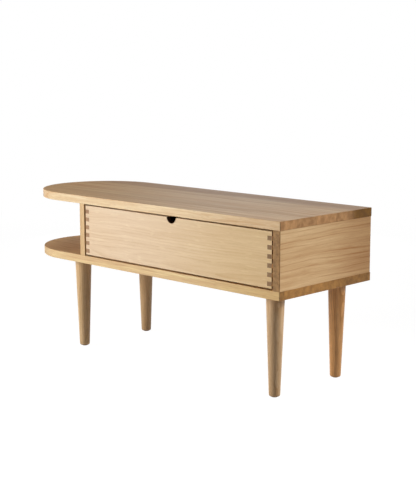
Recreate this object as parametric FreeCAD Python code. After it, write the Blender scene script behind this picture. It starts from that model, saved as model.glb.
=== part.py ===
import FreeCAD
import Part
import os

V = FreeCAD.Vector

# A low oak bench: two boards with one half-round end, an open shelf, a drawer and four turned legs.
# Millimetres. +X runs along the bench to its square end, -Y is the front, +Z is up.
# The origin lies on the floor below the middle of the bench.

# Boards and uprights
length = 1003.0
depth = 355.0
leg_height = 255.0              # floor to the underside of the bottom board
board_thickness = 22.0
bay_height = 143.5              # clear height between the two boards
shelf_length = 278.5            # round tip to the divider's face
divider_thickness = 19.0
side_panel_thickness = 22.0
upright_setback = 2.0           # uprights stop this far short of the boards' rear edge
edge_radius = 1.2               # eased rims of the boards
corner_radius = 1.8             # eased upright corners at the square end
inner_edge_radius = 0.5         # eased upright edges beside the drawer and the shelf

# Back panel of the drawer bay
back_thickness = 8.0
back_inset = 8.0                # from the uprights' rear edge to the panel
back_tongue = 7.0               # panel's reach into its grooves
groove_clearance = 0.2

# Dowels between uprights and boards
dowel_radius = 4.0
dowel_count = 4
dowel_margin = 34.0             # first and last dowel, from the ends of the glued joint
dowel_in_upright = 26.0
dowel_cover = 9.0               # board left over a dowel's end
dowel_chamfer = 1.0
dowel_clearance = 0.05
dowel_end_gap = 1.0

# Legs
leg_top_radius = 23.3
leg_foot_radius = 14.1
leg_toe_radius = 5.0
leg_end_inset = 62.0            # right legs' axes from the square end
leg_tip_inset = 221.0           # left legs' axes from the round tip
leg_edge_inset = 57.5           # legs' axes from the front and rear edges

# Leg fittings
bolt_radius = 4.0
bolt_in_leg = 38.0
bolt_point = 8.0
bolt_point_radius = 1.0
bolt_chamfer = 0.8
bolt_clearance = 0.05
insert_wall = 2.0
insert_cover = 6.0              # board left over an insert
insert_lead = 1.5               # insert's end stands this far past the bolt's end
insert_clearance = 0.05

# Foot glides
glide_radius = 8.0
glide_proud = 1.5
glide_edge = 0.6
glide_stem_radius = 2.5
glide_stem_length = 14.0
glide_stem_chamfer = 0.8
glide_clearance = 0.05

# Drawer
drawer_side_gap = 4.5
drawer_bottom_gap = 4.0
drawer_top_gap = 3.6
drawer_recess = 1.8             # drawer front lies behind the boards' front edge
drawer_rear_gap = 20.0          # drawer to back panel
drawer_front_thickness = 16.0
drawer_wall_thickness = 14.0
drawer_edge_radius = 0.8
finger_count = 6                # fingers of a drawer side in each corner
first_finger_share = 0.5        # lowest finger of the front, as a share of a finger
notch_radius = 16.0
notch_rise = 1.0                # notch's centre above the drawer's upper edge
notch_edge = 1.0                # chamfer of the notch's rims
bottom_thickness = 6.0
bottom_lift = 8.0               # drawer's lower edge to the bottom panel
bottom_tongue = 6.5             # bottom panel's reach into its groove

# Runners
runner_height = 16.0
runner_engagement = 6.0         # runner's reach into a drawer side
runner_clearance = 0.3
runner_stop = 30.0              # drawer's front face to the blind end of its groove
runner_rear_gap = 40.0          # runner's rear end to the back panel
runner_edge = 0.8
screw_count = 3
screw_margin = 32.0             # first and last screw, from the runner's ends
screw_radius = 2.0
screw_head_radius = 4.0
screw_head_height = 2.4
screw_head_sink = 0.4
screw_point = 5.0
screw_cover = 4.0               # upright left past a screw's point
screw_clearance = 0.05

# Small length that tells a shared coordinate from a different one
same_place = 0.001

# Planes and spans that the pieces share
tip_x = -length / 2
end_x = length / 2
front_y = -depth / 2
rear_y = depth / 2
bottom_z0 = leg_height
bottom_z1 = bottom_z0 + board_thickness
top_z0 = bottom_z1 + bay_height
divider_x0 = tip_x + shelf_length
divider_x1 = divider_x0 + divider_thickness
panel_x0 = end_x - side_panel_thickness
divider_x = (divider_x0 + divider_x1) / 2
side_panel_x = (panel_x0 + end_x) / 2
upright_y1 = rear_y - upright_setback
back_y1 = upright_y1 - back_inset
back_y0 = back_y1 - back_thickness
drawer_x0 = divider_x1 + drawer_side_gap
drawer_x1 = panel_x0 - drawer_side_gap
drawer_y0 = front_y + drawer_recess
drawer_y1 = back_y0 - drawer_rear_gap
drawer_z0 = bottom_z1 + drawer_bottom_gap
drawer_z1 = top_z0 - drawer_top_gap
inner_x0 = drawer_x0 + drawer_wall_thickness
inner_x1 = drawer_x1 - drawer_wall_thickness
inner_y0 = drawer_y0 + drawer_front_thickness
inner_y1 = drawer_y1 - drawer_wall_thickness
left_wall = (drawer_x0, inner_x0)
right_wall = (inner_x1, drawer_x1)
front_wall = (drawer_y0, inner_y0)
back_wall = (inner_y1, drawer_y1)
drawer_span = (drawer_z0, drawer_z1)
finger_width = (drawer_z1 - drawer_z0) / (2 * finger_count + first_finger_share)
insert_length = board_thickness - insert_cover
bolt_in_board = insert_length - insert_lead
runner_thickness = drawer_side_gap + runner_engagement
runner_y0 = drawer_y0 + runner_stop + runner_clearance
runner_y1 = back_y0 - runner_rear_gap
runner_z0 = (drawer_z0 + drawer_z1 - runner_height) / 2
runner_z1 = runner_z0 + runner_height

leg_places = {
    "front_left": (tip_x + leg_tip_inset, front_y + leg_edge_inset),
    "front_right": (end_x - leg_end_inset, front_y + leg_edge_inset),
    "back_left": (tip_x + leg_tip_inset, rear_y - leg_edge_inset),
    "back_right": (end_x - leg_end_inset, rear_y - leg_edge_inset),
}


def block(x, y, z, gap=0.0):
    """Box between two limits on each axis, grown by a gap on every side."""
    low = V(x[0] - gap, y[0] - gap, z[0] - gap)
    high = V(x[1] + gap, y[1] + gap, z[1] + gap)
    size = high - low
    return Part.makeBox(size.x, size.y, size.z, low)


def turned(profile, base, axis=V(0, 0, 1)):
    """Solid of revolution from (radius, height) points, stood on a base point along an axis."""
    points = [V(radius, 0, height) for radius, height in profile]
    outline = Part.makePolygon(points + points[:1])
    solid = Part.Face(outline).revolve(V(0, 0, 0), V(0, 0, 1), 360)
    solid.Placement = FreeCAD.Placement(base, FreeCAD.Rotation(V(0, 0, 1), axis))
    return solid


def spread(first, last, count):
    """Evenly spaced places from first to last."""
    return [first + (last - first) * step / (count - 1) for step in range(count)]


def is_upright(edge):
    """True for an edge that stands along Z."""
    return edge.BoundBox.XLength < same_place and edge.BoundBox.YLength < same_place


def is_level(edge):
    """True for an edge that lies in a horizontal plane."""
    return edge.BoundBox.ZLength < same_place


def at_square_end(edge):
    """True for an edge that stands along Z on the bench's square end."""
    return is_upright(edge) and edge.BoundBox.XMin > end_x - same_place


def is_inner(edge):
    """True for any other edge that stands along Z."""
    return is_upright(edge) and not at_square_end(edge)


def eased(solid, radius, picked):
    """Solid with the edges that a test picks rounded, or unchanged where it picks none."""
    edges = [edge for edge in solid.Edges if picked(edge)]
    return solid.makeFillet(radius, edges) if edges else solid


# Back panel and its grooves

def back_panel(gap=0.0):
    x = (divider_x1 - back_tongue, panel_x0 + back_tongue)
    z = (bottom_z1 - back_tongue, top_z0 + back_tongue)
    return block(x, (back_y0, back_y1), z, gap)


# Dowels and their holes

def dowels(upright_x, grow=0.0, end_gap=0.0):
    """Both rows of dowels of one upright, or their holes when grown."""
    reach = board_thickness - dowel_cover - dowel_end_gap
    dowel_length = reach + dowel_in_upright + 2 * end_gap
    radius = dowel_radius + grow
    profile = [
        (0, 0),
        (radius - dowel_chamfer, 0),
        (radius, dowel_chamfer),
        (radius, dowel_length - dowel_chamfer),
        (radius - dowel_chamfer, dowel_length),
        (0, dowel_length),
    ]
    starts = [bottom_z1 - reach - end_gap, top_z0 - dowel_in_upright - end_gap]
    places = spread(front_y + dowel_margin, back_y0 - dowel_margin, dowel_count)
    return [turned(profile, V(upright_x, y, z)) for z in starts for y in places]


def dowel_holes(upright_x):
    return dowels(upright_x, dowel_clearance, dowel_end_gap)


# Boards

def board(z0):
    """D-shaped board with eased edges: square at the right end, a half circle at the left end."""
    round_x = tip_x + depth / 2
    front = V(end_x, front_y, z0)
    rear = V(end_x, rear_y, z0)
    round_front = V(round_x, front_y, z0)
    round_rear = V(round_x, rear_y, z0)
    outline = Part.Wire([
        Part.LineSegment(front, round_front).toShape(),
        Part.Arc(round_front, V(tip_x, 0, z0), round_rear).toShape(),
        Part.LineSegment(round_rear, rear).toShape(),
        Part.LineSegment(rear, front).toShape(),
    ])
    blank = Part.Face(outline).extrude(V(0, 0, board_thickness))
    return eased(eased(blank, corner_radius, at_square_end), edge_radius, is_level)


def joint_cuts():
    """Holes and grooves that both boards share."""
    return dowel_holes(divider_x) + dowel_holes(side_panel_x) + [back_panel(groove_clearance)]


def top_board():
    return board(top_z0).cut(joint_cuts())


def bottom_board():
    return board(bottom_z0).cut(joint_cuts() + insert_holes())


# Uprights

def upright(x, cuts):
    blank = block(x, (front_y, upright_y1), (bottom_z1, top_z0))
    solid = eased(eased(blank, inner_edge_radius, is_inner), corner_radius, at_square_end)
    return solid.cut(cuts + [back_panel(groove_clearance)])


def divider():
    cuts = dowel_holes(divider_x) + runner_screws(divider_x1 + runner_thickness, -1, screw_clearance)
    return upright((divider_x0, divider_x1), cuts)


def side_panel():
    cuts = dowel_holes(side_panel_x) + runner_screws(panel_x0 - runner_thickness, 1, screw_clearance)
    return upright((panel_x0, end_x), cuts)


# Legs with their bolts, inserts and glides

def leg(x, y):
    """Tapered leg with a rounded toe, bored for its bolt and its glide."""
    height = leg_height - glide_proud
    taper = Part.makeCone(leg_foot_radius, leg_top_radius, height, V(x, y, glide_proud))
    toe = [edge for edge in taper.Edges if is_level(edge) and edge.BoundBox.ZMax < glide_proud + same_place]
    bores = [leg_bolt(x, y, bolt_clearance), glide(x, y, glide_clearance)]
    return taper.makeFillet(leg_toe_radius, toe).cut(bores)


def leg_bolt(x, y, grow=0.0):
    """Hanger bolt with a pointed wood end, or its hole in a leg when grown."""
    radius = bolt_radius + grow
    bolt_length = bolt_in_leg + bolt_in_board + grow
    profile = [
        (0, 0),
        (bolt_point_radius + grow, 0),
        (radius, bolt_point),
        (radius, bolt_length - bolt_chamfer),
        (radius - bolt_chamfer, bolt_length),
        (0, bolt_length),
    ]
    return turned(profile, V(x, y, bottom_z0 - bolt_in_leg - grow))


def leg_insert(x, y):
    """Threaded bush, flush with the underside of the bottom board."""
    bore = bolt_radius + bolt_clearance
    profile = [
        (bore, 0),
        (bore + insert_wall, 0),
        (bore + insert_wall, insert_length),
        (bore, insert_length),
    ]
    return turned(profile, V(x, y, bottom_z0))


def insert_holes():
    radius = bolt_radius + bolt_clearance + insert_wall + insert_clearance
    return [
        Part.makeCylinder(radius, insert_length + insert_clearance, V(x, y, bottom_z0))
        for x, y in leg_places.values()
    ]


def glide(x, y, grow=0.0):
    """Round glide with a push-in stem, or the stem's hole when grown."""
    stem = glide_stem_radius + grow
    stem_end = glide_proud + glide_stem_length + grow
    profile = [
        (0, 0),
        (glide_radius - glide_edge, 0),
        (glide_radius, glide_edge),
        (glide_radius, glide_proud),
        (stem, glide_proud),
        (stem, stem_end - glide_stem_chamfer),
        (stem - glide_stem_chamfer, stem_end),
        (0, stem_end),
    ]
    return turned(profile, V(x, y, 0))


# Runners and their screws

def runner_screws(face_x, towards, grow=0.0):
    """Screws of one runner, sunk in its face and pointing along X, or their holes when grown."""
    holding = min(divider_thickness, side_panel_thickness) - screw_cover
    screw_length = runner_thickness - screw_head_sink + holding
    profile = [
        (0, screw_head_sink),
        (screw_head_radius + grow, screw_head_sink),
        (screw_radius + grow, screw_head_sink + screw_head_height),
        (screw_radius + grow, screw_head_sink + screw_length - screw_point),
        (0, screw_head_sink + screw_length + grow),
    ]
    if grow:
        profile[0:1] = [(0, 0), (screw_head_radius + grow, 0)]
    middle_z = (runner_z0 + runner_z1) / 2
    places = spread(runner_y0 + screw_margin, runner_y1 - screw_margin, screw_count)
    return [turned(profile, V(face_x, y, middle_z), V(towards, 0, 0)) for y in places]


def runner(x, face_x, towards):
    blank = block(x, (runner_y0, runner_y1), (runner_z0, runner_z1))
    rims = [edge for edge in blank.Edges if abs(edge.CenterOfMass.x - face_x) < same_place]
    return blank.makeChamfer(runner_edge, rims).cut(runner_screws(face_x, towards, screw_clearance))


def runner_left():
    face_x = divider_x1 + runner_thickness
    return runner((divider_x1, face_x), face_x, -1)


def runner_right():
    face_x = panel_x0 - runner_thickness
    return runner((face_x, panel_x0), face_x, 1)


def runner_grooves():
    """Grooves of both drawer sides: blind at the front, open at the back."""
    y = (runner_y0 - runner_clearance, drawer_y1)
    z = (runner_z0 - runner_clearance, runner_z1 + runner_clearance)
    reach = runner_engagement + runner_clearance
    left = block((drawer_x0, drawer_x0 + reach), y, z)
    right = block((drawer_x1 - reach, drawer_x1), y, z)
    return [left, right]


# Drawer

def side_fingers():
    """Heights of the fingers that belong to the drawer sides."""
    first = drawer_z0 + first_finger_share * finger_width
    starts = [first + 2 * step * finger_width for step in range(finger_count)]
    return [(start, start + finger_width) for start in starts]


def end_fingers():
    """Heights of the fingers that belong to the drawer's front and back."""
    lowest = (drawer_z0, drawer_z0 + first_finger_share * finger_width)
    return [lowest] + [(high, high + finger_width) for low, high in side_fingers()]


def bottom_panel(gap=0.0):
    x = (inner_x0 - bottom_tongue, inner_x1 + bottom_tongue)
    y = (inner_y0 - bottom_tongue, inner_y1 + bottom_tongue)
    z = (drawer_z0 + bottom_lift, drawer_z0 + bottom_lift + bottom_thickness)
    return block(x, y, z, gap)


def drawer_wall(x, y):
    """Wall of the drawer with the two long edges of its upper face eased."""
    blank = block(x, y, drawer_span)
    upper = [edge for edge in blank.Edges if is_level(edge) and edge.BoundBox.ZMin > drawer_z1 - same_place]
    longest = max(edge.Length for edge in upper)
    rims = [edge for edge in upper if edge.Length > longest - same_place]
    return blank.makeFillet(drawer_edge_radius, rims)


def drawer_side(x):
    """Drawer side with fingers at both ends."""
    sockets = [block(x, y, z) for y in (front_wall, back_wall) for z in end_fingers()]
    cuts = sockets + runner_grooves() + [bottom_panel(groove_clearance)]
    return drawer_wall(x, (drawer_y0, drawer_y1)).cut(cuts)


def drawer_end(y, cuts):
    """Drawer front or back with sockets for the sides' fingers."""
    sockets = [block(x, y, z) for x in (left_wall, right_wall) for z in side_fingers()]
    return drawer_wall((drawer_x0, drawer_x1), y).cut(sockets + cuts + [bottom_panel(groove_clearance)])


def drawer_front():
    """Drawer front with a half-round finger notch, chamfered at both faces, in its upper edge."""
    notch_centre = V((drawer_x0 + drawer_x1) / 2, drawer_y0, drawer_z1 + notch_rise)
    profile = [
        (0, 0),
        (notch_radius + notch_edge, 0),
        (notch_radius, notch_edge),
        (notch_radius, drawer_front_thickness - notch_edge),
        (notch_radius + notch_edge, drawer_front_thickness),
        (0, drawer_front_thickness),
    ]
    return drawer_end(front_wall, [turned(profile, notch_centre, V(0, 1, 0))])


def drawer_back():
    return drawer_end(back_wall, runner_grooves())


nodes = {
    "top_board": top_board(),
    "bottom_board": bottom_board(),
    "divider": divider(),
    "side_panel": side_panel(),
    "back_panel": back_panel(),
    "divider_dowels": Part.makeCompound(dowels(divider_x)),
    "side_panel_dowels": Part.makeCompound(dowels(side_panel_x)),
    "runner_left": runner_left(),
    "runner_right": runner_right(),
    "runner_screws": Part.makeCompound(
        runner_screws(divider_x1 + runner_thickness, -1) + runner_screws(panel_x0 - runner_thickness, 1)
    ),
    "leg_bolts": Part.makeCompound([leg_bolt(x, y) for x, y in leg_places.values()]),
    "leg_inserts": Part.makeCompound([leg_insert(x, y) for x, y in leg_places.values()]),
    "drawer_front": drawer_front(),
    "drawer_back": drawer_back(),
    "drawer_left_side": drawer_side(left_wall),
    "drawer_right_side": drawer_side(right_wall),
    "drawer_bottom": bottom_panel(),
}
for place, (leg_x, leg_y) in leg_places.items():
    nodes["leg_" + place] = leg(leg_x, leg_y)
    nodes["glide_" + place] = glide(leg_x, leg_y)

os.makedirs("parts", exist_ok=True)
for name, shape in nodes.items():
    shape.exportStep("parts/" + name + ".step")
    print(name, len(shape.Solids), "solids", round(shape.Volume / 1000, 2), "cm3", shape.isValid())
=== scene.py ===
import math

import bpy
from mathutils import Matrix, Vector


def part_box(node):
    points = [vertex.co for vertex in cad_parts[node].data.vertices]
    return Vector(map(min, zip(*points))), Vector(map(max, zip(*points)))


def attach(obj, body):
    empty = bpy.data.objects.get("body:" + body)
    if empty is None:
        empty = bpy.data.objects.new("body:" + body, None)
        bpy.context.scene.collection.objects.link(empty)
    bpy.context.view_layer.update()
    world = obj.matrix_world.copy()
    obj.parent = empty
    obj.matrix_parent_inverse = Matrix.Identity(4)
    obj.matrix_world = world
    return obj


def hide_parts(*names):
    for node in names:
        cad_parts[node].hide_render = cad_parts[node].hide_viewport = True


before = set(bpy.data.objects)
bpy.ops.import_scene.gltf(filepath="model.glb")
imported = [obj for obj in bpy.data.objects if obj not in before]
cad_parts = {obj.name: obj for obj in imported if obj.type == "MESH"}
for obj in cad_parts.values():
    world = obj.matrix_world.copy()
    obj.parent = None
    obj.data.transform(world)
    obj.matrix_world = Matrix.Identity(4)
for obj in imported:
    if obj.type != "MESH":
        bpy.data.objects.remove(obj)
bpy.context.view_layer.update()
print("frame loaded:", len(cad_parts), "pieces")

millimetre = 0.001
corners = ("front_left", "front_right", "back_left", "back_right")


# Hex values are sRGB, as read off a screen; shaders want linear values.
def hexColour(text):
    channels = [int(text[start:start + 2], 16) / 255 for start in (1, 3, 5)]
    linear = [c / 12.92 if c <= 0.04045 else ((c + 0.055) / 1.055) ** 2.4 for c in channels]
    return (*linear, 1.0)


# An input is either a value or the output of another node.
def addNode(tree, kind, inputs=None, **settings):
    node = tree.nodes.new(kind)
    for name, value in settings.items():
        setattr(node, name, value)
    for key, value in (inputs or {}).items():
        if isinstance(value, bpy.types.NodeSocket):
            tree.links.new(value, node.inputs[key])
        else:
            node.inputs[key].default_value = value
    return node


# An empty material, with the coordinates that its pattern follows.
def newMaterial(name):
    material = bpy.data.materials.new(name)
    material.use_nodes = True
    tree = material.node_tree
    tree.nodes.clear()
    return material, tree, addNode(tree, "ShaderNodeTexCoord")


# Colour, roughness and a fine relief brought together; the relief's depth is in millimetres.
def addSurface(tree, colour, roughness, height, relief, uniform):
    bump = addNode(tree, "ShaderNodeBump", {
        "Height": height, "Strength": relief["strength"], "Distance": relief["depth"] * millimetre,
    })
    shader = addNode(tree, "ShaderNodeBsdfPrincipled", {
        "Base Color": colour, "Roughness": roughness, "Normal": bump.outputs[0], **uniform,
    })
    addNode(tree, "ShaderNodeOutputMaterial", {"Surface": shader.outputs[0]})


def dress(nodeName, material):
    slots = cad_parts[nodeName].data.materials
    slots.clear()
    slots.append(material)


# The piece's own axes, in the order along the grain, across it and through the board.
def grainAxes(tree, place, axes):
    own = addNode(tree, "ShaderNodeSeparateXYZ", {0: place.outputs["Object"]})
    along, across, through = [own.outputs["XYZ".index(letter)] for letter in axes]
    turned = addNode(tree, "ShaderNodeCombineXYZ", {0: along, 1: across, 2: through})
    return along, across, through, turned.outputs[0]


# Oak, planed, sanded and oiled: soft growth rings, long fibre streaks, open pores and a low satin sheen.
# Sizes are millimetres along the grain, across it and through the board. Rings, fibres and pores are two to
# four times as wide as real ones, or they would be lost between the pixels. Spans are the noise values
# between which a mark fades in.
oak = {
    "axes": "XYZ",
    "seed": 1,
    "light": "#e3bd8b",
    "dark": "#c39763",
    "ringWidth": 7.0,
    "ringEdge": 0.5,            # share of a ring that stays pale
    "ringAmount": 0.2,
    "ringWaver": 3.0,
    "ringDetail": {"Detail": 2.0, "Detail Scale": 0.8, "Detail Roughness": 0.5},
    "waverRun": 0.12,           # waver along the grain against across it
    "ringFade": (420.0, 30.0, 30.0),
    "ringFadeSpan": (0.38, 0.62),
    "logSpread": (1400.0, 90.0, 40.0),
    "pith": (0.0, 20.0, -95.0),
    "tilt": (0.0, 0.5, 0.7),    # degrees between the log's axis and the board
    "sway": 8.0,                # grain wanders sideways by up to about half of this
    "swayRun": (240.0, 130.0, 130.0),
    "noiseRoughness": 0.6,
    "band": (520.0, 36.0, 36.0),
    "bandAmount": 0.2,
    "streak": (340.0, 11.0, 11.0),
    "streakAmount": 0.3,
    "fibre": (70.0, 2.0, 2.0),
    "fibreAmount": 0.24,
    "shadeSpan": (0.3, 0.7),    # for bands, streaks and fibres
    "pore": "#8d6740",
    "poreSize": (16.0, 1.5, 1.5),
    "poreSpan": (0.58, 0.72),
    "poreAmount": 0.16,
    "ray": "#f4dfbd",
    "raySize": (42.0, 7.0, 12.0),
    "raySpan": (0.6, 0.74),
    "rayAmount": 0.0,           # pale flecks where a ray lies in the cut
    "end": "#b08353",
    "endDark": "#8a6038",
    "endSpeck": 16.0,
    "endSpeckSpan": (0.35, 0.65),
    "endSpeckAmount": 0.55,
    "endRings": 0.06,
    "endPores": 0.1,
    "staveWidth": 74.0,         # glued strips of the wide boards
    "staveJoint": 105.0,        # where one of the glue lines lies
    "staveTone": 0.04,          # how far strips differ in brightness
    "endTone": 0.12,            # the same on end grain
    # painted shade: a tint that darkens the two wide faces against the edges
    "paintedFaceShade": None,           # colour that multiplies the two wide faces
    # painted shade: a tint that darkens a piece towards the side farther from the key light
    "paintedFalloff": None,              # colour that comes in between two places, and its tint on end grain
    # painted shade: a dark tint inside the finger notch, standing in for the deep shade there
    "notchPaintedShade": None,         # darker wall of the finger notch: its middle, radius and tint
    "polish": (0.40, 0.52),     # roughness of pale and dark grain
    "endPolish": 0.62,
    "relief": {"strength": 0.12, "depth": 0.4},
    "refraction": 1.5,
}
waveRing = math.pi / 10         # ring width of a Wave texture at scale 1
seedStep = 37.31                # keeps the strips of different boards apart
cutSpan = (0.1, 0.95)           # lean of a face's normal to an axis, from side grain to a square cut


# Grain on every face of a board, cut from a log whose pith runs beside it.
def oakGrain(tree, place, board):
    along, across, through, turned = grainAxes(tree, place, board["axes"])
    lengths = addNode(tree, "ShaderNodeVectorMath", {0: turned, 3: 1 / millimetre}, operation="SCALE")

    # Each strip takes its own place in the log, so rings and streaks break at the glue lines.
    strip = addNode(tree, "ShaderNodeMath", {
        0: across, 1: 1 / millimetre / board["staveWidth"], 2: -board["staveJoint"] / board["staveWidth"],
    }, operation="MULTIPLY_ADD")
    stripNumber = addNode(tree, "ShaderNodeMath", {0: strip.outputs[0]}, operation="FLOOR")
    ticket = addNode(tree, "ShaderNodeMath", {0: stripNumber.outputs[0], 1: board["seed"] * seedStep})
    luck = addNode(tree, "ShaderNodeTexWhiteNoise", {"W": ticket.outputs[0]}, noise_dimensions="1D")
    inLog = addNode(tree, "ShaderNodeVectorMath", {
        0: luck.outputs["Color"], 1: board["logSpread"], 2: lengths.outputs[0],
    }, operation="MULTIPLY_ADD")
    wanderPlace = addNode(tree, "ShaderNodeVectorMath", {
        0: inLog.outputs[0], 1: board["swayRun"],
    }, operation="DIVIDE")
    wander = addNode(tree, "ShaderNodeTexNoise", {
        "Vector": wanderPlace.outputs[0], "Scale": 1.0, "Detail": 1.0,
    })
    swayed = addNode(tree, "ShaderNodeVectorMath", {
        0: wander.outputs["Color"], 1: (0.0, 2 * board["sway"], 2 * board["sway"]), 2: inLog.outputs[0],
    }, operation="MULTIPLY_ADD")

    aboutPith = addNode(tree, "ShaderNodeMapping", {
        "Vector": swayed.outputs[0],
        "Location": board["pith"],
        "Rotation": [math.radians(angle) for angle in board["tilt"]],
    })
    wavering = addNode(tree, "ShaderNodeVectorMath", {
        0: aboutPith.outputs[0], 1: (board["waverRun"], 1.0, 1.0),
    }, operation="MULTIPLY")
    rings = addNode(tree, "ShaderNodeTexWave", {
        "Vector": wavering.outputs[0],
        "Scale": waveRing / board["ringWidth"],
        "Distortion": 2 * math.pi * board["ringWaver"] / board["ringWidth"],
        **board["ringDetail"],
    }, wave_type="RINGS", rings_direction="X", wave_profile="SAW")
    late = addNode(tree, "ShaderNodeMapRange", {
        "Value": rings.outputs[1], "From Min": board["ringEdge"], "From Max": 1.0,
    }, interpolation_type="SMOOTHSTEP")

    noise = {}
    for layer, size, detail in (
        ("fade", board["ringFade"], 1.0),
        ("band", board["band"], 2.0),
        ("streak", board["streak"], 3.0),
        ("fibre", board["fibre"], 2.0),
        ("pore", board["poreSize"], 1.0),
        ("ray", board["raySize"], 1.0),
        ("speck", [board["endSpeck"]] * 3, 2.0),
    ):
        stretched = addNode(tree, "ShaderNodeVectorMath", {0: swayed.outputs[0], 1: size}, operation="DIVIDE")
        noise[layer] = addNode(tree, "ShaderNodeTexNoise", {
            "Vector": stretched.outputs[0], "Scale": 1.0,
            "Detail": detail, "Roughness": board["noiseRoughness"],
        }).outputs[0]

    # Rings come and go along the board, as the saw meets them at other angles.
    strength = addNode(tree, "ShaderNodeMapRange", {
        "Value": noise["fade"], "To Max": board["ringAmount"],
        "From Min": board["ringFadeSpan"][0], "From Max": board["ringFadeSpan"][1],
    }, interpolation_type="SMOOTHSTEP")
    shade = addNode(tree, "ShaderNodeMath", {
        0: late.outputs[0], 1: strength.outputs[0],
    }, operation="MULTIPLY")
    for layer in ("band", "streak", "fibre"):
        layerShade = addNode(tree, "ShaderNodeMapRange", {
            "Value": noise[layer], "To Max": board[layer + "Amount"],
            "From Min": board["shadeSpan"][0], "From Max": board["shadeSpan"][1],
        })
        shade = addNode(tree, "ShaderNodeMath", {
            0: shade.outputs[0], 1: layerShade.outputs[0],
        }, operation="ADD", use_clamp=True)
    colour = addNode(tree, "ShaderNodeMix", {
        0: shade.outputs[0], 6: hexColour(board["light"]), 7: hexColour(board["dark"]),
    }, data_type="RGBA")
    marks = {}
    for mark in ("pore", "ray"):
        marks[mark] = addNode(tree, "ShaderNodeMapRange", {
            "Value": noise[mark], "To Max": board[mark + "Amount"],
            "From Min": board[mark + "Span"][0], "From Max": board[mark + "Span"][1],
        }, interpolation_type="SMOOTHSTEP").outputs[0]
        colour = addNode(tree, "ShaderNodeMix", {
            0: marks[mark], 6: colour.outputs[2], 7: hexColour(board[mark]),
        }, data_type="RGBA")
    return {
        "colour": colour.outputs[2],
        "shade": shade.outputs[0],
        "late": late.outputs[0],
        "fibre": noise["fibre"],
        "speck": noise["speck"],
        "pores": marks["pore"],
        "luck": luck.outputs["Value"],
        "along": along,
        "across": across,
        "through": through,
    }


# How squarely a face is cut across one axis of the piece: 0 beside it, 1 square to it.
def cutAcross(tree, place, letter):
    normal = addNode(tree, "ShaderNodeSeparateXYZ", {0: place.outputs["Normal"]})
    lean = addNode(tree, "ShaderNodeMath", {0: normal.outputs["XYZ".index(letter)]}, operation="ABSOLUTE")
    return addNode(tree, "ShaderNodeMapRange", {
        "Value": lean.outputs[0], "From Min": cutSpan[0], "From Max": cutSpan[1],
    }, interpolation_type="SMOOTHSTEP").outputs[0]


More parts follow.
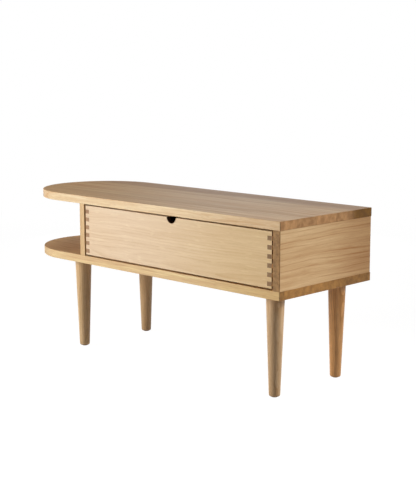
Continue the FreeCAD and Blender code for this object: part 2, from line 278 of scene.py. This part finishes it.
def oiledOak(name, **changes):
    board = {**oak, **changes}
    material, tree, place = newMaterial(name)
    grain = oakGrain(tree, place, board)

    # End grain drinks more oil: darker and duller, specked, with faint ring arcs and a tone for each strip.
    end = cutAcross(tree, place, board["axes"][0])
    endShade = addNode(tree, "ShaderNodeMapRange", {
        "Value": grain["speck"], "To Max": board["endSpeckAmount"],
        "From Min": board["endSpeckSpan"][0], "From Max": board["endSpeckSpan"][1],
    })
    for mark, amount in (("late", board["endRings"]), ("pores", board["endPores"])):
        endShade = addNode(tree, "ShaderNodeMath", {
            0: grain[mark], 1: amount, 2: endShade.outputs[0],
        }, operation="MULTIPLY_ADD", use_clamp=True)
    endWood = addNode(tree, "ShaderNodeMix", {
        0: endShade.outputs[0], 6: hexColour(board["end"]), 7: hexColour(board["endDark"]),
    }, data_type="RGBA")
    wood = addNode(tree, "ShaderNodeMix", {
        0: end, 6: grain["colour"], 7: endWood.outputs[2],
    }, data_type="RGBA")

    # Painted shade on the two wide faces, which get less light than the edges.
    if board["paintedFaceShade"]:
        face = cutAcross(tree, place, board["axes"][2])
        wood = addNode(tree, "ShaderNodeMix", {
            0: face, 6: wood.outputs[2], 7: hexColour(board["paintedFaceShade"]),
        }, data_type="RGBA", blend_type="MULTIPLY")
    # Painted shade: the colour darkens across the span, as the key's light falls off.
    if board["paintedFalloff"]:
        paintedFalloff = board["paintedFalloff"]
        passed = addNode(tree, "ShaderNodeMapRange", {
            "Value": grain[paintedFalloff["side"]],
            "From Min": paintedFalloff["span"][0] * millimetre, "From Max": paintedFalloff["span"][1] * millimetre,
        }, interpolation_type="SMOOTHSTEP")
        tint = addNode(tree, "ShaderNodeMix", {
            0: end, 6: hexColour(paintedFalloff["tint"]), 7: hexColour(paintedFalloff["endTint"]),
        }, data_type="RGBA")
        wood = addNode(tree, "ShaderNodeMix", {
            0: passed.outputs[0], 6: wood.outputs[2], 7: tint.outputs[2],
        }, data_type="RGBA", blend_type="MULTIPLY")
    # Painted shade: the wall of the finger notch is tinted dark, as the shade in it would make it.
    if board["notchPaintedShade"]:
        notch = board["notchPaintedShade"]
        middle = [length * millimetre for length in notch["middle"]]
        facePlace = addNode(tree, "ShaderNodeCombineXYZ", {0: grain["along"], 1: grain["across"]})
        reach = addNode(tree, "ShaderNodeVectorMath", {
            0: facePlace.outputs[0], 1: (*middle, 0),
        }, operation="DISTANCE")
        inNotch = addNode(tree, "ShaderNodeMapRange", {
            "Value": reach.outputs["Value"],
            "From Min": (notch["radius"] + notch["fade"]) * millimetre,
            "From Max": notch["radius"] * millimetre,
        }, interpolation_type="SMOOTHSTEP")
        wood = addNode(tree, "ShaderNodeMix", {
            0: inNotch.outputs[0], 6: wood.outputs[2], 7: hexColour(notch["tint"]),
        }, data_type="RGBA", blend_type="MULTIPLY")

    toneSpread = addNode(tree, "ShaderNodeMapRange", {
        "Value": end, "To Min": 2 * board["staveTone"], "To Max": 2 * board["endTone"],
    })
    middling = addNode(tree, "ShaderNodeMath", {0: grain["luck"], 1: 0.5}, operation="SUBTRACT")
    tone = addNode(tree, "ShaderNodeMath", {
        0: middling.outputs[0], 1: toneSpread.outputs[0], 2: 1.0,
    }, operation="MULTIPLY_ADD")
    toned = addNode(tree, "ShaderNodeHueSaturation", {"Value": tone.outputs[0], "Color": wood.outputs[2]})

    polish = addNode(tree, "ShaderNodeMapRange", {
        "Value": grain["shade"], "To Min": board["polish"][0], "To Max": board["polish"][1],
    })
    roughness = addNode(tree, "ShaderNodeMix", {0: end, 2: polish.outputs[0], 3: board["endPolish"]})
    height = addNode(tree, "ShaderNodeMath", {0: grain["fibre"], 1: grain["pores"]}, operation="SUBTRACT")
    addSurface(
        tree, toned.outputs[0], roughness.outputs[0], height.outputs[0], board["relief"],
        {"IOR": board["refraction"]})
    return material


oneBoard = {"staveWidth": 900.0, "staveJoint": -450.0}
oneLog = {"logSpread": (0.0, 0.0, 0.0)}
turnedLeg = {
    **oneBoard, "axes": "ZXY", "ringAmount": 0.4, "streak": (160.0, 6.0, 6.0), "streakAmount": 0.45,
    "fibreAmount": 0.3, "poreAmount": 0.25, "swayRun": (110.0, 60.0, 60.0),
}
drawerWall = {**oneBoard, "axes": "YZX"}
oakPieces = {
    "top_board": {
        # the light and end colours are paled: painted sheen on the edges and end grain
        "axes": "XYZ", "seed": 1, "light": "#f7e4bb", "dark": "#c79a67",
        "end": "#b78b5e", "endDark": "#764f2f",
        "pith": (0.0, 200.0, -400.0), "ringWidth": 24.0, "ringEdge": 0.6, "ringAmount": 0.3,
        "bandAmount": 0.4, "streakAmount": 0.4, "fibreAmount": 0.32, "polish": (0.33, 0.45),
        # painted shade on the wide faces; it also takes the painted sheen of the pale light colour back off
        # them
        "paintedFaceShade": "#f0dfc8",
        # painted shade towards the back edge
        "paintedFalloff": {"side": "across", "span": (78.0, 118.0), "tint": "#dcd0c5", "endTint": "#a79951"},
    },
    "bottom_board": {
        "axes": "XYZ", "seed": 2, "light": "#fbe3a9", "dark": "#c29066",
        "end": "#a87b45", "endDark": "#654425", "endTone": 0.18, "staveJoint": 62.0,
        "bandAmount": 0.1, "streakAmount": 0.45, "fibreAmount": 0.36,
        # painted shade on the wide faces
        "paintedFaceShade": "#e2d0c0",
        # painted shade towards the right end
        "paintedFalloff": {"side": "along", "span": (150.0, 480.0), "tint": "#f3ebd9", "endTint": "#fbf8f0"},
    },
    "divider": {"axes": "ZYX", "seed": 3, "light": "#e4c594", "streakAmount": 0.45, "fibreAmount": 0.36},
    "side_panel": {
        **oneBoard, **oneLog, "axes": "YZX", "seed": 4, "light": "#e4c596", "dark": "#ad7a47",
        # the end colours are paled: painted sheen on the end grain
        "end": "#af8553", "endDark": "#5f3f23", "endSpeck": 9.0,
        "pith": (0.0, -150.0, -490.0), "ringWidth": 14.0, "ringEdge": 0.66, "ringAmount": 0.4,
        "ringWaver": 6.0, "sway": 10.0, "swayRun": (260.0, 90.0, 90.0), "streakAmount": 0.45,
        # painted shade towards the back
        "paintedFalloff": {"side": "along", "span": (-40.0, 190.0), "tint": "#d9c7b0", "endTint": "#ffffff"},
    },
    "drawer_front": {
        **oneBoard, **oneLog, "axes": "XZY", "seed": 10, "light": "#ecd4b5", "dark": "#d2b089",
        "end": "#6d4d30", "endDark": "#563b24",
        "pith": (0.0, -306.0, 196.0), "tilt": (0.0, 2.5, 0.7), "ringAmount": 0.3,
        "band": (420.0, 14.0, 14.0), "bandAmount": 0.3, "poreAmount": 0.1, "rayAmount": 0.3,
        # painted shade towards the right end
        "paintedFalloff": {"side": "along", "span": (-50.0, 450.0), "tint": "#f7f1d9", "endTint": "#ffffff"},
        # painted shade inside the finger notch
        "notchPaintedShade": {"middle": (137.75, 417.9), "radius": 16.3, "fade": 0.8, "tint": "#86705c"},
    },
    "drawer_back": {**oneBoard, "axes": "XZY", "seed": 11},
    "drawer_left_side": {**drawerWall, "seed": 12, "end": "#b9906d", "endDark": "#976f50"},
    "drawer_right_side": {**drawerWall, "seed": 13, "end": "#93724f", "endDark": "#78583b"},
    "leg_front_left": {**turnedLeg, "seed": 6, "light": "#eecd9f", "dark": "#c39966"},
    "leg_front_right": {**turnedLeg, "seed": 7, "light": "#d7b68e", "dark": "#aa8356"},
    "leg_back_left": {**turnedLeg, "seed": 8, "light": "#e0bd90", "dark": "#b38959"},
    "leg_back_right": {**turnedLeg, "seed": 9, "light": "#e6ad70", "dark": "#a9753f", "ringAmount": 0.6},
}
for nodeName, changes in oakPieces.items():
    dress(nodeName, oiledOak("oiledOak_" + nodeName, **changes))
print("oak pieces dressed:", len(oakPieces))

# Oak-faced plywood, oiled: a quiet sliced veneer on the faces, stacked plies on the edges.
plywood = {
    "light": "#dfb783",
    "dark": "#c59a66",
    "ringAmount": 0.16,
    "streakAmount": 0.42,
    "plyThickness": 1.4,
    "plySpan": (-0.2, 0.2),     # sine values between which one ply turns into the next
    "plyLight": "#d8b283",
    "plyDark": "#9c7048",
    "relief": {"strength": 0.08, "depth": 0.4},
}


def oakPlywood(name, **changes):
    board = {**oak, **plywood, **oneBoard, **changes}
    material, tree, place = newMaterial(name)
    grain = oakGrain(tree, place, board)
    face = cutAcross(tree, place, board["axes"][2])
    ply = addNode(tree, "ShaderNodeMath", {
        0: grain["through"], 1: math.pi / millimetre / board["plyThickness"],
    }, operation="MULTIPLY")
    turn = addNode(tree, "ShaderNodeMath", {0: ply.outputs[0]}, operation="SINE")
    stack = addNode(tree, "ShaderNodeMapRange", {
        "Value": turn.outputs[0], "From Min": board["plySpan"][0], "From Max": board["plySpan"][1],
    })
    edge = addNode(tree, "ShaderNodeMix", {
        0: stack.outputs[0], 6: hexColour(board["plyLight"]), 7: hexColour(board["plyDark"]),
    }, data_type="RGBA")
    wood = addNode(tree, "ShaderNodeMix", {
        0: face, 6: edge.outputs[2], 7: grain["colour"],
    }, data_type="RGBA")
    polish = addNode(tree, "ShaderNodeMapRange", {
        "Value": grain["shade"], "To Min": board["polish"][0], "To Max": board["polish"][1],
    })
    addSurface(
        tree, wood.outputs[2], polish.outputs[0], grain["fibre"], board["relief"],
        {"IOR": board["refraction"]})
    return material


dress("back_panel", oakPlywood("oakPlywood_back_panel", axes="XZY", seed=15))
dress("drawer_bottom", oakPlywood("oakPlywood_drawer_bottom", axes="XYZ", seed=16))
print("plywood panels dressed")

# Beech, planed: even pinkish brown with short darker ray flecks, no oil and little shine.
beech = {
    "light": "#ddb48c",
    "dark": "#c99c72",
    "streak": (220.0, 6.0, 6.0),
    "streakSpan": (0.35, 0.65),
    "fleck": "#a87850",
    "fleckSize": (7.0, 1.0, 1.0),  # real rays are half as wide
    "fleckSpan": (0.56, 0.66),
    "fleckAmount": 0.55,
    "polish": (0.5, 0.62),
    "relief": {"strength": 0.1, "depth": 0.3},
    "refraction": 1.5,
}


def planedBeech(name, axes):
    material, tree, place = newMaterial(name)
    turned = grainAxes(tree, place, axes)[-1]
    noise = {}
    for layer, detail in (("streak", 3.0), ("fleckSize", 1.0)):
        scale = [1 / millimetre / size for size in beech[layer]]
        spread = addNode(tree, "ShaderNodeVectorMath", {0: turned, 1: scale}, operation="MULTIPLY")
        noise[layer] = addNode(tree, "ShaderNodeTexNoise", {
            "Vector": spread.outputs[0], "Scale": 1.0, "Detail": detail,
        }).outputs[0]
    streaks = addNode(tree, "ShaderNodeMapRange", {
        "Value": noise["streak"], "From Min": beech["streakSpan"][0], "From Max": beech["streakSpan"][1],
    })
    wood = addNode(tree, "ShaderNodeMix", {
        0: streaks.outputs[0], 6: hexColour(beech["light"]), 7: hexColour(beech["dark"]),
    }, data_type="RGBA")
    flecks = addNode(tree, "ShaderNodeMapRange", {
        "Value": noise["fleckSize"], "To Max": beech["fleckAmount"],
        "From Min": beech["fleckSpan"][0], "From Max": beech["fleckSpan"][1],
    }, interpolation_type="SMOOTHSTEP")
    flecked = addNode(tree, "ShaderNodeMix", {
        0: flecks.outputs[0], 6: wood.outputs[2], 7: hexColour(beech["fleck"]),
    }, data_type="RGBA")
    polish = addNode(tree, "ShaderNodeMapRange", {
        "Value": noise["streak"], "To Min": beech["polish"][0], "To Max": beech["polish"][1],
    })
    addSurface(
        tree, flecked.outputs[2], polish.outputs[0], noise["fleckSize"], beech["relief"],
        {"IOR": beech["refraction"]})
    return material


# Small fittings. Grit is the size of the marks in millimetres, along X, Y and Z.
fittingFinishes = {
    # Steel, bright zinc plated: cool silver, cloudy where the plating crystals catch the light.
    "zincPlatedSteel": {
        "light": "#cfd2d6", "dark": "#a9adb6", "grit": (2.0, 2.0, 2.0), "polish": (0.2, 0.38),
        "metallic": 1.0, "relief": {"strength": 0.05, "depth": 0.2},
    },
    # Brass, turned on a lathe: warm yellow with fine tool rings; real ones are finer and wouldn't show.
    "turnedBrass": {
        "light": "#d2ab52", "dark": "#b08a36", "grit": (9.0, 9.0, 0.6), "polish": (0.22, 0.4),
        "metallic": 1.0, "relief": {"strength": 0.12, "depth": 0.2},
    },
    # Nylon, moulded, brown: dull and even, with the fine grain of a spark-eroded mould.
    "mouldedNylon": {
        "light": "#57483a", "dark": "#44372b", "grit": (0.9, 0.9, 0.9), "polish": (0.5, 0.62),
        "metallic": 0.0, "relief": {"strength": 0.25, "depth": 0.2},
    },
}
gritSpan = (0.35, 0.65)         # noise values between which light turns to dark


def fittingFinish(name):
    finish = fittingFinishes[name]
    material, tree, place = newMaterial(name)
    scale = [1 / millimetre / size for size in finish["grit"]]
    spread = addNode(tree, "ShaderNodeVectorMath", {
        0: place.outputs["Object"], 1: scale,
    }, operation="MULTIPLY")
    marks = addNode(tree, "ShaderNodeTexNoise", {"Vector": spread.outputs[0], "Scale": 1.0, "Detail": 3.0})
    clouds = addNode(tree, "ShaderNodeMapRange", {
        "Value": marks.outputs[0], "From Min": gritSpan[0], "From Max": gritSpan[1],
    })
    colour = addNode(tree, "ShaderNodeMix", {
        0: clouds.outputs[0], 6: hexColour(finish["light"]), 7: hexColour(finish["dark"]),
    }, data_type="RGBA")
    polish = addNode(tree, "ShaderNodeMapRange", {
        "Value": clouds.outputs[0], "To Min": finish["polish"][0], "To Max": finish["polish"][1],
    })
    addSurface(
        tree, colour.outputs[2], polish.outputs[0], marks.outputs[0], finish["relief"],
        {"Metallic": finish["metallic"]})
    return material


dowelBeech = planedBeech("planedBeech_dowels", "ZXY")
runnerBeech = planedBeech("planedBeech_runners", "YZX")
zincSteel = fittingFinish("zincPlatedSteel")
brass = fittingFinish("turnedBrass")
nylon = fittingFinish("mouldedNylon")
for corner in corners:
    dress("glide_" + corner, nylon)
for side in ("left", "right"):
    dress("runner_" + side, runnerBeech)
print("runners and glides dressed")


# A turned piece: a disc on the Z axis, extruded and resized from one (radius, height) to the next.
# Its lengths are millimetres.
def turnPiece(name, profile, sides=32, flutes=None):
    radius, height = profile[0]
    bpy.ops.object.select_all(action="DESELECT")
    bpy.ops.mesh.primitive_circle_add(
        vertices=sides, radius=radius * millimetre, fill_type="NGON", location=(0, 0, height * millimetre))
    piece = bpy.context.object
    piece.name = name
    bpy.ops.object.transform_apply(location=True, rotation=False, scale=False)
    bpy.ops.object.mode_set(mode="EDIT")
    if flutes:
        bpy.ops.mesh.select_all(action="DESELECT")
        bpy.ops.object.mode_set(mode="OBJECT")
        for vertex in piece.data.vertices:
            vertex.select = vertex.index % flutes["every"] == 1
        bpy.ops.object.mode_set(mode="EDIT")
        shrink = 1 - flutes["depth"] / radius
        bpy.ops.transform.resize(value=(shrink, shrink, 1), center_override=(0, 0, height * millimetre))
    bpy.ops.mesh.select_all(action="SELECT")
    for nextRadius, nextHeight in profile[1:]:
        rise = (nextHeight - height) * millimetre
        grow = nextRadius / radius
        bpy.ops.mesh.extrude_region_move(TRANSFORM_OT_translate={"value": (0, 0, rise)})
        bpy.ops.transform.resize(value=(grow, grow, 1), center_override=(0, 0, nextHeight * millimetre))
        radius, height = nextRadius, nextHeight
    bpy.ops.mesh.select_all(action="SELECT")
    bpy.ops.mesh.normals_make_consistent(inside=False)
    bpy.ops.object.mode_set(mode="OBJECT")
    return piece


# A thread ridge: a triangle beside the core, wound up the Z axis and closed at both ends.
# A triangle's middle lies a third of its height from the base and two thirds from the tip.
def windThread(thread):
    depth = thread["crest"] - thread["root"] + thread["sunk"]
    middle = thread["root"] - thread["sunk"] + depth / 3
    bpy.ops.object.select_all(action="DESELECT")
    bpy.ops.mesh.primitive_circle_add(
        vertices=3, radius=depth / 1.5 * millimetre, fill_type="NOTHING",
        location=(middle * millimetre, 0, thread["start"] * millimetre),
        rotation=(-math.pi / 2, -math.pi / 2, 0))
    ridge = bpy.context.object
    bpy.ops.object.transform_apply(location=True, rotation=True, scale=True)
    winding = ridge.modifiers.new("winding", "SCREW")
    winding.axis = "Z"
    winding.angle = 2 * math.pi
    winding.screw_offset = thread["pitch"] * millimetre
    winding.iterations = thread["turns"]
    winding.steps = winding.render_steps = thread["steps"]
    winding.use_merge_vertices = False
    bpy.ops.object.modifier_apply(modifier=winding.name)
    bpy.ops.object.mode_set(mode="EDIT")
    bpy.ops.mesh.select_all(action="SELECT")
    bpy.ops.mesh.fill_holes(sides=3)
    bpy.ops.mesh.select_all(action="SELECT")
    bpy.ops.mesh.normals_make_consistent(inside=False)
    bpy.ops.object.mode_set(mode="OBJECT")
    return ridge


def carve(piece, cutter):
    bpy.ops.object.select_all(action="DESELECT")
    piece.select_set(True)
    bpy.context.view_layer.objects.active = piece
    cut = piece.modifiers.new("carve", "BOOLEAN")
    cut.operation = "DIFFERENCE"
    cut.solver = "EXACT"
    cut.object = cutter
    bpy.ops.object.modifier_apply(modifier=cut.name)
    bpy.data.objects.remove(cutter)


def joinPieces(pieces):
    bpy.ops.object.select_all(action="DESELECT")
    for piece in pieces:
        piece.select_set(True)
    bpy.context.view_layer.objects.active = pieces[0]
    if len(pieces) > 1:
        bpy.ops.object.join()
    return pieces[0]


smoothBelow = 35.0              # degrees; edges that bend more stay sharp
unturned = (0.0, 0.0, 0.0)


# One modelled fitting is copied to all its places; the copies together stand for the CAD node.
def setFittings(pattern, places, node, material):
    copies = []
    for location, turn in places:
        copy = pattern.copy()
        copy.data = pattern.data.copy()
        copy.location = location
        copy.rotation_euler = turn
        bpy.context.scene.collection.objects.link(copy)
        copies.append(copy)
    name = pattern.name
    bpy.data.objects.remove(pattern)
    group = joinPieces(copies)
    bpy.ops.object.transform_apply(location=True, rotation=True, scale=True)
    bpy.ops.object.shade_smooth_by_angle(angle=math.radians(smoothBelow))
    group.name = name
    group.data.materials.clear()
    group.data.materials.append(material)
    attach(group, "carcass")
    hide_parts(node)


legAxes = []
for corner in corners:
    low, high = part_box("leg_" + corner)
    legAxes.append((low + high) / 2)

# Hanger bolts: coarse wood thread below, plain collar, fine machine thread above. Heights from the point.
hangerBolt = {
    "profile": [
        (1.0, 0.0), (2.9, 8.0), (2.9, 31.4), (3.9, 32.0),
        (3.9, 37.0), (3.35, 37.4), (3.35, 51.9), (2.7, 52.5),
    ],
    "woodThread": {
        "root": 2.9, "crest": 4.0, "sunk": 0.3, "pitch": 3.5, "start": 8.6, "turns": 6, "steps": 24,
    },
    "machineThread": {
        "root": 3.35, "crest": 4.0, "sunk": 0.2, "pitch": 1.25, "start": 38.4, "turns": 10, "steps": 24,
    },
}
bolt = joinPieces([
    turnPiece("hangerBolts", hangerBolt["profile"]),
    windThread(hangerBolt["woodThread"]),
    windThread(hangerBolt["machineThread"]),
])
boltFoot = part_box("leg_bolts")[0].z
boltPlaces = [((axis.x, axis.y, boltFoot), unturned) for axis in legAxes]
setFittings(bolt, boltPlaces, "leg_bolts", zincSteel)

# Threaded inserts: a brass bush with a flush rim, a coarse outer thread and a hexagon socket at its mouth.
threadedInsert = {
    "profile": [(5.9, 0.0), (6.05, 0.2), (6.05, 0.9), (5.2, 1.3), (5.2, 15.2), (4.7, 16.0)],
    "sides": 40,
    "thread": {
        "root": 5.2, "crest": 6.05, "sunk": 0.2, "pitch": 2.4, "start": 2.2, "turns": 5, "steps": 32,
    },
    "bore": [(4.05, -1.0), (4.05, 17.0)],
    "socket": [(4.68, -1.0), (4.68, 4.0)],
}
bush = turnPiece("threadedInserts", threadedInsert["profile"], sides=threadedInsert["sides"])
carve(bush, turnPiece("bore", threadedInsert["bore"], sides=threadedInsert["sides"]))
carve(bush, turnPiece("socket", threadedInsert["socket"], sides=6))
insert = joinPieces([bush, windThread(threadedInsert["thread"])])
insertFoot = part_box("leg_inserts")[0].z
insertPlaces = [((axis.x, axis.y, insertFoot), unturned) for axis in legAxes]
setFittings(insert, insertPlaces, "leg_inserts", brass)

# Runner screws: countersunk heads with a cross recess, plain neck, wood thread and point.
# The head is at height 0.
runnerScrew = {
    "profile": [
        (0.12, -25.1), (1.35, -20.4), (1.35, -9.2), (1.9, -8.8),
        (1.9, -2.4), (3.85, -0.35), (4.0, -0.2), (3.9, 0.0),
    ],
    "thread": {
        "root": 1.35, "crest": 2.0, "sunk": 0.2, "pitch": 1.8, "start": -20.2, "turns": 6, "steps": 20,
    },
    "recess": [(1.1, -1.8), (2.6, 0.2)],
    "recessThinness": 0.36,
    "sunk": 0.4,
    "firstAndLast": 32.0,       # from the ends of a runner
}
screw = turnPiece("runnerScrews", runnerScrew["profile"])
for turn in (0, math.pi / 2):
    blade = turnPiece("recess", runnerScrew["recess"], sides=4)
    blade.scale.y = runnerScrew["recessThinness"]
    blade.rotation_euler.z = turn
    bpy.ops.object.transform_apply(location=False, rotation=True, scale=True)
    carve(screw, blade)
screw = joinPieces([screw, windThread(runnerScrew["thread"])])
screwPlaces = []
for side, towards in (("left", 1), ("right", -1)):
    low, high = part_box("runner_" + side)
    face = (high.x if towards > 0 else low.x) - towards * runnerScrew["sunk"] * millimetre
    first = low.y + runnerScrew["firstAndLast"] * millimetre
    last = high.y - runnerScrew["firstAndLast"] * millimetre
    for y in (first, (first + last) / 2, last):
        screwPlaces.append(((face, y, (low.z + high.z) / 2), (0, towards * math.pi / 2, 0)))
setFittings(screw, screwPlaces, "runner_screws", zincSteel)

# Dowels: fluted along their length for the glue, with chamfered ends.
dowel = {
    "profile": [(3.0, 0.0), (4.0, 1.0), (4.0, 37.0), (3.0, 38.0)],
    "sides": 48,
    "flutes": {"every": 3, "depth": 0.25},
    "perRow": 4,
}
for node, name in (("divider_dowels", "dividerDowels"), ("side_panel_dowels", "sidePanelDowels")):
    low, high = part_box(node)
    radius = dowel["profile"][1][0] * millimetre
    length = dowel["profile"][-1][1] * millimetre
    dowelPlaces = []
    for foot in (low.z, high.z - length):
        for number in range(dowel["perRow"]):
            share = number / (dowel["perRow"] - 1)
            y = low.y + radius + share * (high.y - low.y - 2 * radius)
            dowelPlaces.append((((low.x + high.x) / 2, y, foot), unturned))
    pin = turnPiece(name, dowel["profile"], sides=dowel["sides"], flutes=dowel["flutes"])
    setFittings(pin, dowelPlaces, node, dowelBeech)
print("fittings modelled")


def seenRays(tree, kinds):
    ray = addNode(tree, "ShaderNodeLightPath")
    seen = ray.outputs[kinds[0]]
    for kind in kinds[1:]:
        seen = addNode(tree, "ShaderNodeMath", {
            0: seen, 1: ray.outputs[kind],
        }, operation="MAXIMUM").outputs[0]
    return seen


# Plain pale floor that keeps a soft shadow and fades to white away from the bench. Lengths are metres.
floor = {
    "size": 40.0,
    "colour": "#c4c2bf",
    "glow": 0.965,              # white that is seen, under the lamps' own light on the floor
    "shadowShare": 0.30,
    "fadeStart": 0.9,
    "fadeEnd": 3.0,
}


def layFloor():
    bpy.ops.object.select_all(action="DESELECT")
    bpy.ops.mesh.primitive_plane_add(size=floor["size"], location=(0, 0, 0))
    sheet = bpy.context.object
    sheet.name = "studioFloor"
    material, tree, place = newMaterial("paleFloor")
    away = addNode(tree, "ShaderNodeVectorMath", {0: place.outputs["Object"]}, operation="LENGTH")
    fade = addNode(tree, "ShaderNodeMapRange", {
        "Value": away.outputs["Value"], "From Min": floor["fadeStart"], "From Max": floor["fadeEnd"],
    }, interpolation_type="SMOOTHSTEP")
    seen = seenRays(tree, ("Is Camera Ray", "Is Glossy Ray", "Is Transmission Ray"))
    glow = addNode(tree, "ShaderNodeMapRange", {
        "Value": fade.outputs[0], "To Min": floor["glow"], "To Max": 1.0,
    })
    shown = addNode(tree, "ShaderNodeMapRange", {
        "Value": fade.outputs[0], "To Min": floor["shadowShare"], "To Max": 0.0,
    })
    seenGlow = addNode(tree, "ShaderNodeMath", {0: glow.outputs[0], 1: seen}, operation="MULTIPLY")
    share = addNode(tree, "ShaderNodeMix", {0: seen, 2: 1.0, 3: shown.outputs[0]})
    matt = addNode(tree, "ShaderNodeBsdfDiffuse", {"Color": hexColour(floor["colour"])})
    nothing = addNode(tree, "ShaderNodeEmission", {"Color": (0, 0, 0, 1), "Strength": 0.0})
    lit = addNode(tree, "ShaderNodeMixShader", {
        0: share.outputs[0], 1: nothing.outputs[0], 2: matt.outputs[0],
    })
    white = addNode(tree, "ShaderNodeEmission", {"Color": (1, 1, 1, 1), "Strength": seenGlow.outputs[0]})
    both = addNode(tree, "ShaderNodeAddShader", {0: lit.outputs[0], 1: white.outputs[0]})
    addNode(tree, "ShaderNodeOutputMaterial", {"Surface": both.outputs[0]})
    sheet.data.materials.append(material)


layFloor()

# Soft boxes: a low gridded key at the front left, a weak one overhead, a gridded one at the right rear and
# a low fill behind the bench, below its top. Places and sizes are metres, spreads degrees.
# Mirrored is the share of a box's light that shows in reflections; it keeps the top from burning out.
# The sheen this leaves out of reflections is painted into paler oak colours instead.
softBoxes = {
    "keyBox": {
        "place": (-1.15, -1.5, 0.72), "aim": (0.9, -0.1, 0.3), "size": (0.8, 0.75),
        "watts": 14.4, "spread": 100.0, "mirrored": 0.35,
    },
    "overheadBox": {
        "place": (-0.85, 0.0, 1.5), "aim": (-0.45, 0.0, 0.3), "size": (0.8, 0.8),
        "watts": 6.2, "spread": 180.0, "mirrored": 1.0,
    },
    "rightBox": {
        "place": (1.95, 1.2, 1.15), "aim": (0.9, -0.6, 0.05), "size": (0.7, 0.6),
        "watts": 10.1, "spread": 64.0, "mirrored": 0.0,
    },
    "backBox": {
        "place": (-1.5, 1.7, 0.15), "aim": (0.0, 0.1, 0.3), "size": (1.4, 0.2),
        "watts": 8.0, "spread": 120.0, "mirrored": 1.0,
    },
}


def hangLights():
    for name, box in softBoxes.items():
        for inMirrors, share in ((True, box["mirrored"]), (False, 1 - box["mirrored"])):
            if share == 0:
                continue
            lamp = bpy.data.lights.new(name, "AREA")
            lamp.shape = "RECTANGLE"
            lamp.size, lamp.size_y = box["size"]
            lamp.energy = share * box["watts"]
            lamp.spread = math.radians(box["spread"])
            holder = bpy.data.objects.new(name, lamp)
            holder.location = box["place"]
            towards = Vector(box["aim"]) - Vector(box["place"])
            holder.rotation_euler = towards.to_track_quat("-Z", "Y").to_euler()
            holder.visible_camera = False
            holder.visible_glossy = inMirrors
            bpy.context.scene.collection.objects.link(holder)


hangLights()

# White to the eye all round. In reflections the room is bright only in a band, dimmer left and right of it,
# with a grey wall at the front. Edges are cosines to the backdrop's side, or to the front for the wall.
studioWorld = {
    "ambient": 0.01,
    "backdropSide": (0.707, 0.707, 0.0),
    "leftEdge": (-0.1, 0.02),
    "rightEdge": (0.02, 0.2),
    "dimLeft": 0.1,
    "dimRight": 0.6,
    "frontEdge": (0.1, 0.6),
    "frontGlow": 0.5,
}


def paintRoom():
    world = bpy.data.worlds.new("whiteStudio")
    bpy.context.scene.world = world
    world.use_nodes = True
    tree = world.node_tree
    tree.nodes.clear()
    place = addNode(tree, "ShaderNodeTexCoord")
    side = addNode(tree, "ShaderNodeVectorMath", {
        0: place.outputs["Generated"], 1: studioWorld["backdropSide"],
    }, operation="DOT_PRODUCT")
    fromLeft = addNode(tree, "ShaderNodeMapRange", {
        "Value": side.outputs["Value"],
        "From Min": studioWorld["leftEdge"][0], "From Max": studioWorld["leftEdge"][1],
        "To Min": studioWorld["dimLeft"], "To Max": 1.0,
    }, interpolation_type="SMOOTHSTEP")
    fromRight = addNode(tree, "ShaderNodeMapRange", {
        "Value": side.outputs["Value"],
        "From Min": studioWorld["rightEdge"][0], "From Max": studioWorld["rightEdge"][1],
        "To Min": 1.0, "To Max": studioWorld["dimRight"],
    }, interpolation_type="SMOOTHSTEP")
    backdrop = addNode(tree, "ShaderNodeMath", {
        0: fromLeft.outputs[0], 1: fromRight.outputs[0],
    }, operation="MULTIPLY")
    facing = addNode(tree, "ShaderNodeSeparateXYZ", {0: place.outputs["Generated"]})
    towardsFront = addNode(tree, "ShaderNodeMath", {0: facing.outputs["Y"], 1: -1.0}, operation="MULTIPLY")
    frontGlow = addNode(tree, "ShaderNodeMapRange", {
        "Value": towardsFront.outputs[0], "To Max": studioWorld["frontGlow"],
        "From Min": studioWorld["frontEdge"][0], "From Max": studioWorld["frontEdge"][1],
    }, interpolation_type="SMOOTHSTEP")
    room = addNode(tree, "ShaderNodeMath", {
        0: backdrop.outputs[0], 1: frontGlow.outputs[0],
    }, operation="MAXIMUM")
    mirrored = seenRays(tree, ("Is Glossy Ray",))
    seen = seenRays(tree, ("Is Camera Ray", "Is Transmission Ray"))
    unseen = addNode(tree, "ShaderNodeMix", {0: mirrored, 2: studioWorld["ambient"], 3: room.outputs[0]})
    strength = addNode(tree, "ShaderNodeMix", {0: seen, 2: unseen.outputs[0], 3: 1.0})
    sky = addNode(tree, "ShaderNodeBackground", {"Color": (1, 1, 1, 1), "Strength": strength.outputs[0]})
    addNode(tree, "ShaderNodeOutputWorld", {"Surface": sky.outputs[0]})


paintRoom()
print("studio lit")

# Camera at the photo's viewing angle.
view = {
    "place": (2.16674, -2.12895, 0.81391),
    "yaw": 44.195,              # degrees, from looking straight at the drawer
    "pitch": 9.179,             # degrees, downwards
    "focalPixels": 1123.9,
    "pictureHeight": 480,
    "sensor": 36.0,
    "farthest": 100.0,          # metres
}


def setCamera():
    camera = bpy.data.cameras.new("photoCamera")
    camera.sensor_width = view["sensor"]
    camera.lens = view["focalPixels"] * view["sensor"] / view["pictureHeight"]
    camera.clip_end = view["farthest"]
    holder = bpy.data.objects.new("photoCamera", camera)
    holder.location = view["place"]
    holder.rotation_euler = (math.radians(90 - view["pitch"]), 0, math.radians(view["yaw"]))
    bpy.context.scene.collection.objects.link(holder)
    bpy.context.scene.camera = holder


setCamera()
bpy.context.scene.view_settings.view_transform = "Standard"
